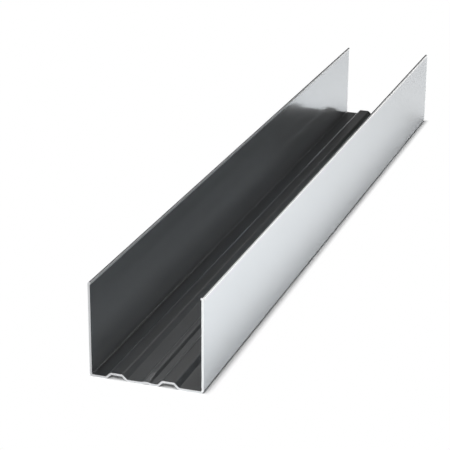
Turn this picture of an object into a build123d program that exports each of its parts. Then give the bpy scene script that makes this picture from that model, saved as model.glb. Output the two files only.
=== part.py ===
"""Metal stud track: a short length of U channel, cold formed from galvanised steel strip.

One piece of bent sheet. It lies on its web with the open side up. X runs across the web,
Y along the length and Z up the flanges. The origin is under the middle of the web.
"""

import os

from build123d import *

os.makedirs("parts", exist_ok=True)

# Overall sizes, in millimetres, outside to outside
length = 400.0
web_width = 50.0
flange_height = 42.0
thickness = 0.9

# Bends between the web and the flanges, radius on the inside
corner_bend = 0.5

# Small lip that stiffens the free edge of each flange. It is folded hard over: the fold is
# sharp inside and pressed round outside, and the strip's own edge is rolled round.
lip_stand = 0.4
lip_outer_round = 0.6
lip_edge_round = 0.3

# Two stiffening ribs, pressed up into the channel on either side of the middle
rib_height = 2.0
rib_foot_width = 9.4
rib_crest_width = 5.4
rib_bend = 0.4
left_rib_offset = 13.1
right_rib_offset = 9.7

# Narrow bead along the middle of the web, which runs out to a faint step at both cut ends
bead_height = 1.05
bead_end_height = 0.28
bead_foot_width = 4.2
bead_crest_width = 2.1
bead_bend = 0.3
bead_runout = 8.0
bead_margin = 0.6

# Faces of the sheet that the section is drawn from
inner_face = web_width / 2 - thickness
web_top = thickness
lip_underside = flange_height - thickness
strip_half = bead_foot_width / 2 + bead_margin


def rib_points(centre, foot_width, crest_width, height):
    """Four bends of one rib, on the upper face of the web, from left to right."""
    return [
        (centre - foot_width / 2, web_top),
        (centre - crest_width / 2, web_top + height),
        (centre + crest_width / 2, web_top + height),
        (centre + foot_width / 2, web_top),
    ]


def rib_radii(bend):
    """Radii of those bends on the upper face: tight at the feet, wide over the crest."""
    return [bend, bend + thickness, bend + thickness, bend]


# The whole section is one line, the inside face of the sheet, from lip to lip. Its first and
# last bends are the sharp folds of the lips.
section_points = [
    (-inner_face + lip_stand, lip_underside),
    (-inner_face, lip_underside),
    (-inner_face, web_top),
    *rib_points(-left_rib_offset, rib_foot_width, rib_crest_width, rib_height),
    *rib_points(right_rib_offset, rib_foot_width, rib_crest_width, rib_height),
    (inner_face, web_top),
    (inner_face, lip_underside),
    (inner_face - lip_stand, lip_underside),
]
section_radii = [
    0,
    corner_bend,
    *rib_radii(rib_bend),
    *rib_radii(rib_bend),
    corner_bend,
    0,
]

# Where the bead changes height along the length, and how high it stands there
bead_stations = [
    (length / 2, bead_end_height),
    (length / 2 - bead_runout, bead_height),
    (-length / 2 + bead_runout, bead_height),
    (-length / 2, bead_end_height),
]

with BuildPart() as stud_track:
    # Formed channel, drawn at the far end and run along the length
    with BuildSketch(Plane.XZ.offset(-length / 2)):
        with BuildLine():
            FilletPolyline(*section_points, radius=section_radii)
            offset(amount=thickness, kind=Kind.INTERSECTION, side=Side.RIGHT)
        make_face()

        # Tops of the lips: first the edges of the strip, then the outsides of the folds
        lip_corners = vertices().group_by(Axis.Y)[-1].sort_by(lambda corner: abs(corner.X))
        fillet(lip_corners[:2], radius=lip_edge_round)
        lip_corners = vertices().group_by(Axis.Y)[-1].sort_by(lambda corner: abs(corner.X))
        fillet(lip_corners[-2:], radius=lip_outer_round)
    extrude(amount=length)

    # Flat strip along the middle of the web gives way to the bead
    with BuildSketch(Plane.XZ.offset(-length / 2)):
        with Locations((0, thickness / 2)):
            Rectangle(2 * strip_half, 2 * thickness)
    extrude(amount=length, mode=Mode.SUBTRACT)

    # The bead is formed strip of the same sheet, shallow at the ends
    for station, height in bead_stations:
        with BuildSketch(Plane.XZ.offset(-station)):
            with BuildLine():
                FilletPolyline(
                    (-strip_half, web_top),
                    *rib_points(0, bead_foot_width, bead_crest_width, height),
                    (strip_half, web_top),
                    radius=rib_radii(bead_bend),
                )
                offset(amount=thickness, kind=Kind.INTERSECTION, side=Side.RIGHT)
            make_face()
    loft(ruled=True)

stud_track.part.label = "stud_track"
export_step(stud_track.part, "parts/stud_track.step")
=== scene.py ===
"""Metal stud track: a short length of cold-formed steel U channel on a pale studio floor."""

import math

import bpy
from mathutils import Matrix, Vector

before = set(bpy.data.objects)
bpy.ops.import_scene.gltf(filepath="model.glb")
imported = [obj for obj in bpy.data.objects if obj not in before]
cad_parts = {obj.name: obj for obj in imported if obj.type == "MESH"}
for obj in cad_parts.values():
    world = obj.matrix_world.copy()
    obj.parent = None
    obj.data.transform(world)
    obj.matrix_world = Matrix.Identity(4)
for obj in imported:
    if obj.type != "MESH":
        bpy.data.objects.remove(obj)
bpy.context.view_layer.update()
bpy.ops.object.select_all(action="DESELECT")


# Stud track: one strip of hot-dip galvanised steel, bent to a ribbed U by forming rolls and
# sheared to length. The zinc is skin passed, so it mirrors softly under a broader haze, with
# the ghost of its spangle. The sheared ends show duller, scored steel.
def srgb(code):
    """Linear red, green, blue and alpha of an sRGB hex colour."""
    parts = [int(code[i : i + 2], 16) / 255 for i in (1, 3, 5)]
    return [p / 12.92 if p <= 0.04045 else ((p + 0.055) / 1.055) ** 2.4 for p in parts] + [1.0]


def add_node(tree, kind, settings=None, links=None):
    """A shader node, with its settings, and each named or numbered input linked or set."""
    node = tree.nodes.new(kind)
    for name, value in (settings or {}).items():
        setattr(node, name, value)
    for name, value in (links or {}).items():
        if isinstance(value, bpy.types.NodeSocket):
            tree.links.new(value, node.inputs[name])
        else:
            node.inputs[name].default_value = value
    return node


zinc = bpy.data.materials.new("skin_passed_galvanised_steel")
zinc.use_nodes = True
tree = zinc.node_tree
steel = tree.nodes["Principled BSDF"]
steel.inputs["Metallic"].default_value = 1.0
# The haze is a coat, a broad reflection with a fifth of the light, square on. It stands for
# the oxide on the zinc, but its IOR is above zinc oxide's 2.0. It was fitted mainly because
# the denoised render speckles inside the channel without it.
steel.inputs["Coat Weight"].default_value = 1.0
steel.inputs["Coat Roughness"].default_value = 0.275
steel.inputs["Coat IOR"].default_value = 2.65
place = add_node(tree, "ShaderNodeTexCoord").outputs["Object"]

# Rolling grain: streaks 0.35 mm wide and about 8 mm long, along the strip.
grain_place = add_node(
    tree, "ShaderNodeMapping", links={"Vector": place, "Scale": (2900, 125, 2900)}
)
grain = add_node(
    tree,
    "ShaderNodeTexNoise",
    links={"Vector": grain_place.outputs[0], "Scale": 1.0, "Detail": 2.0, "Roughness": 0.6},
)
# Spangle: zinc crystals about 4 mm across, nearly flattened by the skin pass.
spangle = add_node(tree, "ShaderNodeTexVoronoi", links={"Vector": place, "Scale": 250.0})
crystal = add_node(tree, "ShaderNodeSeparateColor", links={"Color": spangle.outputs["Color"]})
# Zinc bloom: soft clouds about 12 mm across, where the coating is a little thicker.
bloom = add_node(
    tree,
    "ShaderNodeTexNoise",
    links={"Vector": place, "Scale": 85.0, "Detail": 3.0, "Roughness": 0.5},
)

# The three together run from 0.25 to 0.75, and shift both the tint and the gloss.
shade = 0.25
for pattern, share in (
    (grain.outputs["Fac"], 0.1),
    (crystal.outputs[0], 0.15),
    (bloom.outputs["Fac"], 0.25),
):
    shade = add_node(
        tree,
        "ShaderNodeMath",
        {"operation": "MULTIPLY_ADD"},
        {0: pattern, 1: share, 2: shade},
    ).outputs[0]
tint = add_node(
    tree,
    "ShaderNodeMix",
    {"data_type": "RGBA"},
    {"Factor": shade, 6: srgb("#C1C8CE"), 7: srgb("#CED6DC")},
)
satin = add_node(
    tree,
    "ShaderNodeMapRange",
    links={"Value": shade, "From Min": 0.2, "From Max": 0.8, "To Min": 0.125, "To Max": 0.1},
)

# Painted shade and highlights on the web, standing in for the reflections in its bends: the
# ramp darkens the tight bends at the feet, the right slope of each rib and the web towards
# both corners as painted shade, and lightens the crest bends as painted highlights. The lines'
# places and shades were fitted by eye and measure to the photograph, and their cause is a
# guess. Each stop is a distance from the middle in millimetres.
half_width = 25.0
inside_face = 24.1
across = add_node(tree, "ShaderNodeSeparateXYZ", links={0: place})
offset = add_node(tree, "ShaderNodeMath", {"operation": "ABSOLUTE"}, {0: across.outputs["X"]})
width = add_node(
    tree,
    "ShaderNodeMapRange",
    links={
        "Value": across.outputs["X"],
        "From Min": -half_width / 1000,
        "From Max": half_width / 1000,
    },
)
painted_web_shades = [
    (-24.1, "#FFFFFF"),
    (-23.65, "#FFFFFF"),
    (-23.4, "#B0B0B0"),
    (-21.5, "#C4C4C4"),
    (-19.5, "#EFEFEF"),
    (-18.1, "#EFEFEF"),
    (-17.8, "#B4B4B4"),
    (-17.5, "#F2F2F2"),
    (-10.9, "#F2F2F2"),
    (-10.5, "#FFFFFF"),
    (-10.1, "#DCDCDC"),
    (-8.6, "#CCCCCC"),
    (-8.2, "#F4F4F4"),
    (-2.6, "#F4F4F4"),
    (-2.2, "#A8A8A8"),
    (-1.8, "#F4F4F4"),
    (0.6, "#F4F4F4"),
    (1.0, "#FFFFFF"),
    (1.3, "#767676"),
    (2.1, "#767676"),
    (2.4, "#FFFFFF"),
    (3.4, "#F4F4F4"),
    (4.7, "#F4F4F4"),
    (5.0, "#A8A8A8"),
    (5.4, "#DCDCDC"),
    (12.2, "#D8D8D8"),
    (12.6, "#FFFFFF"),
    (12.9, "#8C8C8C"),
    (14.3, "#8C8C8C"),
    (14.7, "#E4E4E4"),
    (16.0, "#D0D0D0"),
    (24.0, "#C4C4C4"),
]
painted_web_ramp = add_node(tree, "ShaderNodeValToRGB", links={0: width.outputs[0]})
elements = painted_web_ramp.color_ramp.elements
elements.remove(elements[1])
elements[0].position = (painted_web_shades[0][0] + half_width) / (2 * half_width)
elements[0].color = srgb(painted_web_shades[0][1])
for distance, colour in painted_web_shades[1:]:
    elements.new((distance + half_width) / (2 * half_width)).color = srgb(colour)
# The painted lines lie between the flanges' inside faces, and the zinc's tint still shows
# through them.
web_span = add_node(
    tree,
    "ShaderNodeMapRange",
    links={
        "Value": offset.outputs[0],
        "From Min": (inside_face - 0.01) / 1000,
        "From Max": (inside_face - 0.07) / 1000,
        "To Max": 0.8,
    },
)
# The web's colour takes the painted shade and highlights of the ramp.
painted_web_lines = add_node(
    tree,
    "ShaderNodeMix",
    {"data_type": "RGBA"},
    {"Factor": web_span.outputs[0], 6: tint.outputs[2], 7: painted_web_ramp.outputs[0]},
)

# Painted shade: a dark line along each flange's inside foot, just above the corner.
foot_height = 1.9
profile = add_node(
    tree, "ShaderNodeCombineXYZ", links={"X": offset.outputs[0], "Z": across.outputs["Z"]}
)
foot = add_node(
    tree,
    "ShaderNodeVectorMath",
    {"operation": "DISTANCE"},
    {0: profile.outputs[0], 1: (inside_face / 1000, 0, foot_height / 1000)},
)
painted_corner_shade = add_node(
    tree,
    "ShaderNodeMapRange",
    links={
        "Value": foot.outputs["Value"],
        "From Min": 0.0007,
        "From Max": 0.0004,
        "To Max": 0.8,
    },
)
# The painted corner shade darkens the colour there.
corner_shaded = add_node(
    tree,
    "ShaderNodeMix",
    {"data_type": "RGBA"},
    {"Factor": painted_corner_shade.outputs[0], 6: painted_web_lines.outputs[2], 7: srgb("#8C8C8C")},
)

# The web is rubbed duller than the flanges, and most towards the right.
rubbed = add_node(
    tree,
    "ShaderNodeMapRange",
    {"interpolation_type": "SMOOTHSTEP"},
    {"Value": across.outputs["X"], "From Min": -0.024, "From Max": -0.004},
)
worn = add_node(
    tree,
    "ShaderNodeMath",
    {"operation": "MULTIPLY"},
    {0: rubbed.outputs[0], 1: web_span.outputs[0]},
)
matted = add_node(
    tree,
    "ShaderNodeMix",
    {"data_type": "FLOAT"},
    {"Factor": worn.outputs[0], 2: satin.outputs[0], 3: 0.3},
)

# Lips: the hard fold has stretched the zinc and left it rough on the inner half of the left
# lip and the outer edge of the right one, the edges that face right, and there it is also
# whitened as a painted highlight. Each stop is a distance in from the channel's side in
# millimetres, the roughness there, and the strength of the painted highlight.
lip_depth = 1.5
left_lip = [
    (1.5, 0.62, 1.0),
    (1.1, 0.62, 1.0),
    (1.0, 0.15, 0.0),
    (0.5, 0.12, 0.0),
    (0.0, 0.12, 0.0),
]
right_lip = [
    (1.5, 0.15, 0.0),
    (0.5, 0.15, 0.0),
    (0.45, 0.8, 1.0),
    (0.1, 0.8, 1.0),
    (0.05, 0.11, 1.0),
]
lip = add_node(
    tree,
    "ShaderNodeMapRange",
    links={
        "Value": offset.outputs[0],
        "From Min": (half_width - lip_depth) / 1000,
        "From Max": half_width / 1000,
    },
)
folds = []
for stops in (left_lip, right_lip):
    fold = add_node(tree, "ShaderNodeValToRGB", links={0: lip.outputs[0]})
    elements = fold.color_ramp.elements
    elements.remove(elements[1])
    elements[0].color = (stops[0][1], stops[0][2], 0, 1)
    for depth, rough, painted_lip_highlight in stops[1:]:
        elements.new(1 - depth / lip_depth).color = (rough, painted_lip_highlight, 0, 1)
    folds.append(fold)
on_right = add_node(
    tree, "ShaderNodeMath", {"operation": "GREATER_THAN"}, {0: across.outputs["X"], 1: 0.0}
)
either = add_node(
    tree,
    "ShaderNodeMix",
    {"data_type": "RGBA"},
    {"Factor": on_right.outputs[0], 6: folds[0].outputs[0], 7: folds[1].outputs[0]},
)
fold = add_node(tree, "ShaderNodeSeparateColor", links={"Color": either.outputs[2]})
high = add_node(
    tree, "ShaderNodeMath", {"operation": "GREATER_THAN"}, {0: across.outputs["Z"], 1: 0.0409}
)
painted_lip_highlight = add_node(
    tree, "ShaderNodeMath", {"operation": "MULTIPLY"}, {0: high.outputs[0], 1: fold.outputs[1]}
)
# White mixed in on the lips as a painted highlight.
lip_highlighted = add_node(
    tree,
    "ShaderNodeMix",
    {"data_type": "RGBA"},
    {"Factor": painted_lip_highlight.outputs[0], 6: corner_shaded.outputs[2], 7: srgb("#FFFFFF")},
)
crazed = add_node(
    tree,
    "ShaderNodeMix",
    {"data_type": "FLOAT"},
    {"Factor": high.outputs[0], 2: matted.outputs[0], 3: fold.outputs[0]},
)

# Sheared ends, flat across the strip at 200 mm either way from the middle. Their colour runs
# from bright on the right to darker towards the left, a painted shade that was fitted to the
# photograph's near end. The stops are in millimetres again.
painted_shear_shades = [(-25.0, "#A8AAAC"), (-10.0, "#C4C6C8"), (23.0, "#CFD2D4"), (25.0, "#F0F2F3")]
reach = add_node(tree, "ShaderNodeMath", {"operation": "ABSOLUTE"}, {0: across.outputs["Y"]})
sheared = add_node(
    tree, "ShaderNodeMath", {"operation": "GREATER_THAN"}, {0: reach.outputs[0], 1: 0.19995}
)
# The ramp gives the sheared ends their painted shade.
shear_shade = add_node(tree, "ShaderNodeValToRGB", links={0: width.outputs[0]})
elements = shear_shade.color_ramp.elements
elements.remove(elements[1])
elements[0].color = srgb(painted_shear_shades[0][1])
for distance, colour in painted_shear_shades[1:]:
    elements.new((distance + half_width) / (2 * half_width)).color = srgb(colour)
coat = add_node(
    tree,
    "ShaderNodeMix",
    {"data_type": "RGBA"},
    {"Factor": sheared.outputs[0], 6: lip_highlighted.outputs[2], 7: shear_shade.outputs[0]},
)
dull = add_node(
    tree,
    "ShaderNodeMix",
    {"data_type": "FLOAT"},
    {"Factor": sheared.outputs[0], 2: crazed.outputs[0], 3: 0.45},
)
tree.links.new(coat.outputs[2], steel.inputs["Base Color"])
tree.links.new(dull.outputs[0], steel.inputs["Roughness"])

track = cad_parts["stud_track"]
track.data.materials.clear()
track.data.materials.append(zinc)


# Studio floor: plain white paper. The camera sees it burn out to white just beside the
# track, and the steel mirrors it white further off. The soft shadow under the track stays.
bpy.ops.mesh.primitive_plane_add(size=12.0, location=(0, 0, 0))
floor = bpy.context.object
floor.name = "floor"
paper = bpy.data.materials.new("white_paper_sweep")
paper.use_nodes = True
tree = paper.node_tree
matt = tree.nodes["Principled BSDF"]
matt.inputs["Base Color"].default_value = srgb("#F3F3F3")
matt.inputs["Roughness"].default_value = 0.9

# How far a spot lies from the track's own rectangle, 50 mm by 400 mm.
place = add_node(tree, "ShaderNodeTexCoord").outputs["Object"]
side = add_node(tree, "ShaderNodeVectorMath", {"operation": "ABSOLUTE"}, {0: place})
beyond = add_node(
    tree,
    "ShaderNodeVectorMath",
    {"operation": "SUBTRACT"},
    {0: side.outputs[0], 1: (0.025, 0.2, 0)},
)
outside = add_node(
    tree,
    "ShaderNodeVectorMath",
    {"operation": "MAXIMUM"},
    {0: beyond.outputs[0], 1: (0, 0, 0)},
)
gap = add_node(tree, "ShaderNodeVectorMath", {"operation": "LENGTH"}, {0: outside.outputs[0]})
clear = add_node(
    tree,
    "ShaderNodeMapRange",
    {"interpolation_type": "SMOOTHSTEP"},
    {"Value": gap.outputs["Value"], "From Min": 0.0, "From Max": 0.0035},
)
far = add_node(
    tree,
    "ShaderNodeMapRange",
    {"interpolation_type": "SMOOTHSTEP"},
    {"Value": gap.outputs["Value"], "From Min": 0.12, "From Max": 0.35},
)
path = add_node(tree, "ShaderNodeLightPath")
mirrored = add_node(
    tree,
    "ShaderNodeMath",
    {"operation": "MULTIPLY"},
    {0: far.outputs[0], 1: path.outputs["Is Glossy Ray"]},
)
burnt = add_node(
    tree,
    "ShaderNodeMath",
    {"operation": "MULTIPLY_ADD"},
    {0: clear.outputs[0], 1: path.outputs["Is Camera Ray"], 2: mirrored.outputs[0]},
)
# White at a strength of 1 for the camera, and 1.45 where the steel mirrors it far off. In the
# photograph's view that lifts little but the lips and the upright cut edges, by about 9
# grey levels of 255.
strength = add_node(
    tree,
    "ShaderNodeMath",
    {"operation": "MULTIPLY_ADD"},
    {0: path.outputs["Is Glossy Ray"], 1: 0.45, 2: 1.0},
)
white = add_node(
    tree,
    "ShaderNodeEmission",
    links={"Color": srgb("#FFFFFF"), "Strength": strength.outputs[0]},
)
both = add_node(
    tree,
    "ShaderNodeMixShader",
    links={0: burnt.outputs[0], 1: matt.outputs[0], 2: white.outputs[0]},
)
tree.links.new(both.outputs[0], tree.nodes["Material Output"].inputs["Surface"])
floor.data.materials.append(paper)


# Light: one large soft box overhead, on the left and towards the camera, and a low white
# screen behind on the right, which lights both lips and the far stretch of the ribs. The
# room is dim, because the channel's inside mirrors it and the photograph shows that inside
# dark.
box_place = Vector((-0.1, -0.37, 0.97))
bpy.ops.object.light_add(type="AREA", location=box_place)
box = bpy.context.object
box.rotation_euler = box_place.to_track_quat("Z", "Y").to_euler()
box.data.shape = "RECTANGLE"
box.data.size = 0.7
box.data.size_y = 1.6
box.data.energy = 17.5

screen_place = Vector((0.68, 0.98, 0.06))
flange_middle = Vector((0, 0, 0.02))
bpy.ops.object.light_add(type="AREA", location=screen_place)
screen = bpy.context.object
screen.rotation_euler = (screen_place - flange_middle).to_track_quat("Z", "Y").to_euler()
screen.data.shape = "RECTANGLE"
screen.data.size = 0.6
screen.data.size_y = 0.12
screen.data.energy = 0.34
screen.visible_camera = False

# The room is brighter upwards and to the left. Only the camera sees it white.
world = bpy.data.worlds.new("dim_room")
bpy.context.scene.world = world
world.use_nodes = True
tree = world.node_tree
room = tree.nodes["Background"]
view = add_node(tree, "ShaderNodeTexCoord").outputs["Generated"]
rise = add_node(
    tree, "ShaderNodeVectorMath", {"operation": "DOT_PRODUCT"}, {0: view, 1: (-0.6, 0, 1)}
)
glow = add_node(
    tree,
    "ShaderNodeMapRange",
    links={"Value": rise.outputs["Value"], "From Max": 0.6, "To Min": 0.005, "To Max": 0.064},
)
path = add_node(tree, "ShaderNodeLightPath")
seen = add_node(
    tree,
    "ShaderNodeMix",
    {"data_type": "RGBA"},
    {"Factor": path.outputs["Is Camera Ray"], 6: glow.outputs[0], 7: srgb("#FFFFFF")},
)
tree.links.new(seen.outputs[2], room.inputs["Color"])

bpy.context.scene.view_settings.view_transform = "Standard"


# Camera: a long lens, standing to the right of the channel's near end and above it,
# looking down along the length.
camera_data = bpy.data.cameras.new("long_lens")
camera_data.sensor_width = 36.0
camera_data.lens = 133.84
camera = bpy.data.objects.new("camera", camera_data)
bpy.context.scene.collection.objects.link(camera)
stand = Matrix.Translation((0.23209, -0.77338, 0.30212))
heading = Matrix.Rotation(math.radians(19.075), 4, "Z")
tilt = Matrix.Rotation(math.radians(90 - 20.594), 4, "X")
roll = Matrix.Rotation(math.radians(0.258), 4, "Z")
camera.matrix_world = stand @ heading @ tilt @ roll
bpy.context.scene.camera = camera
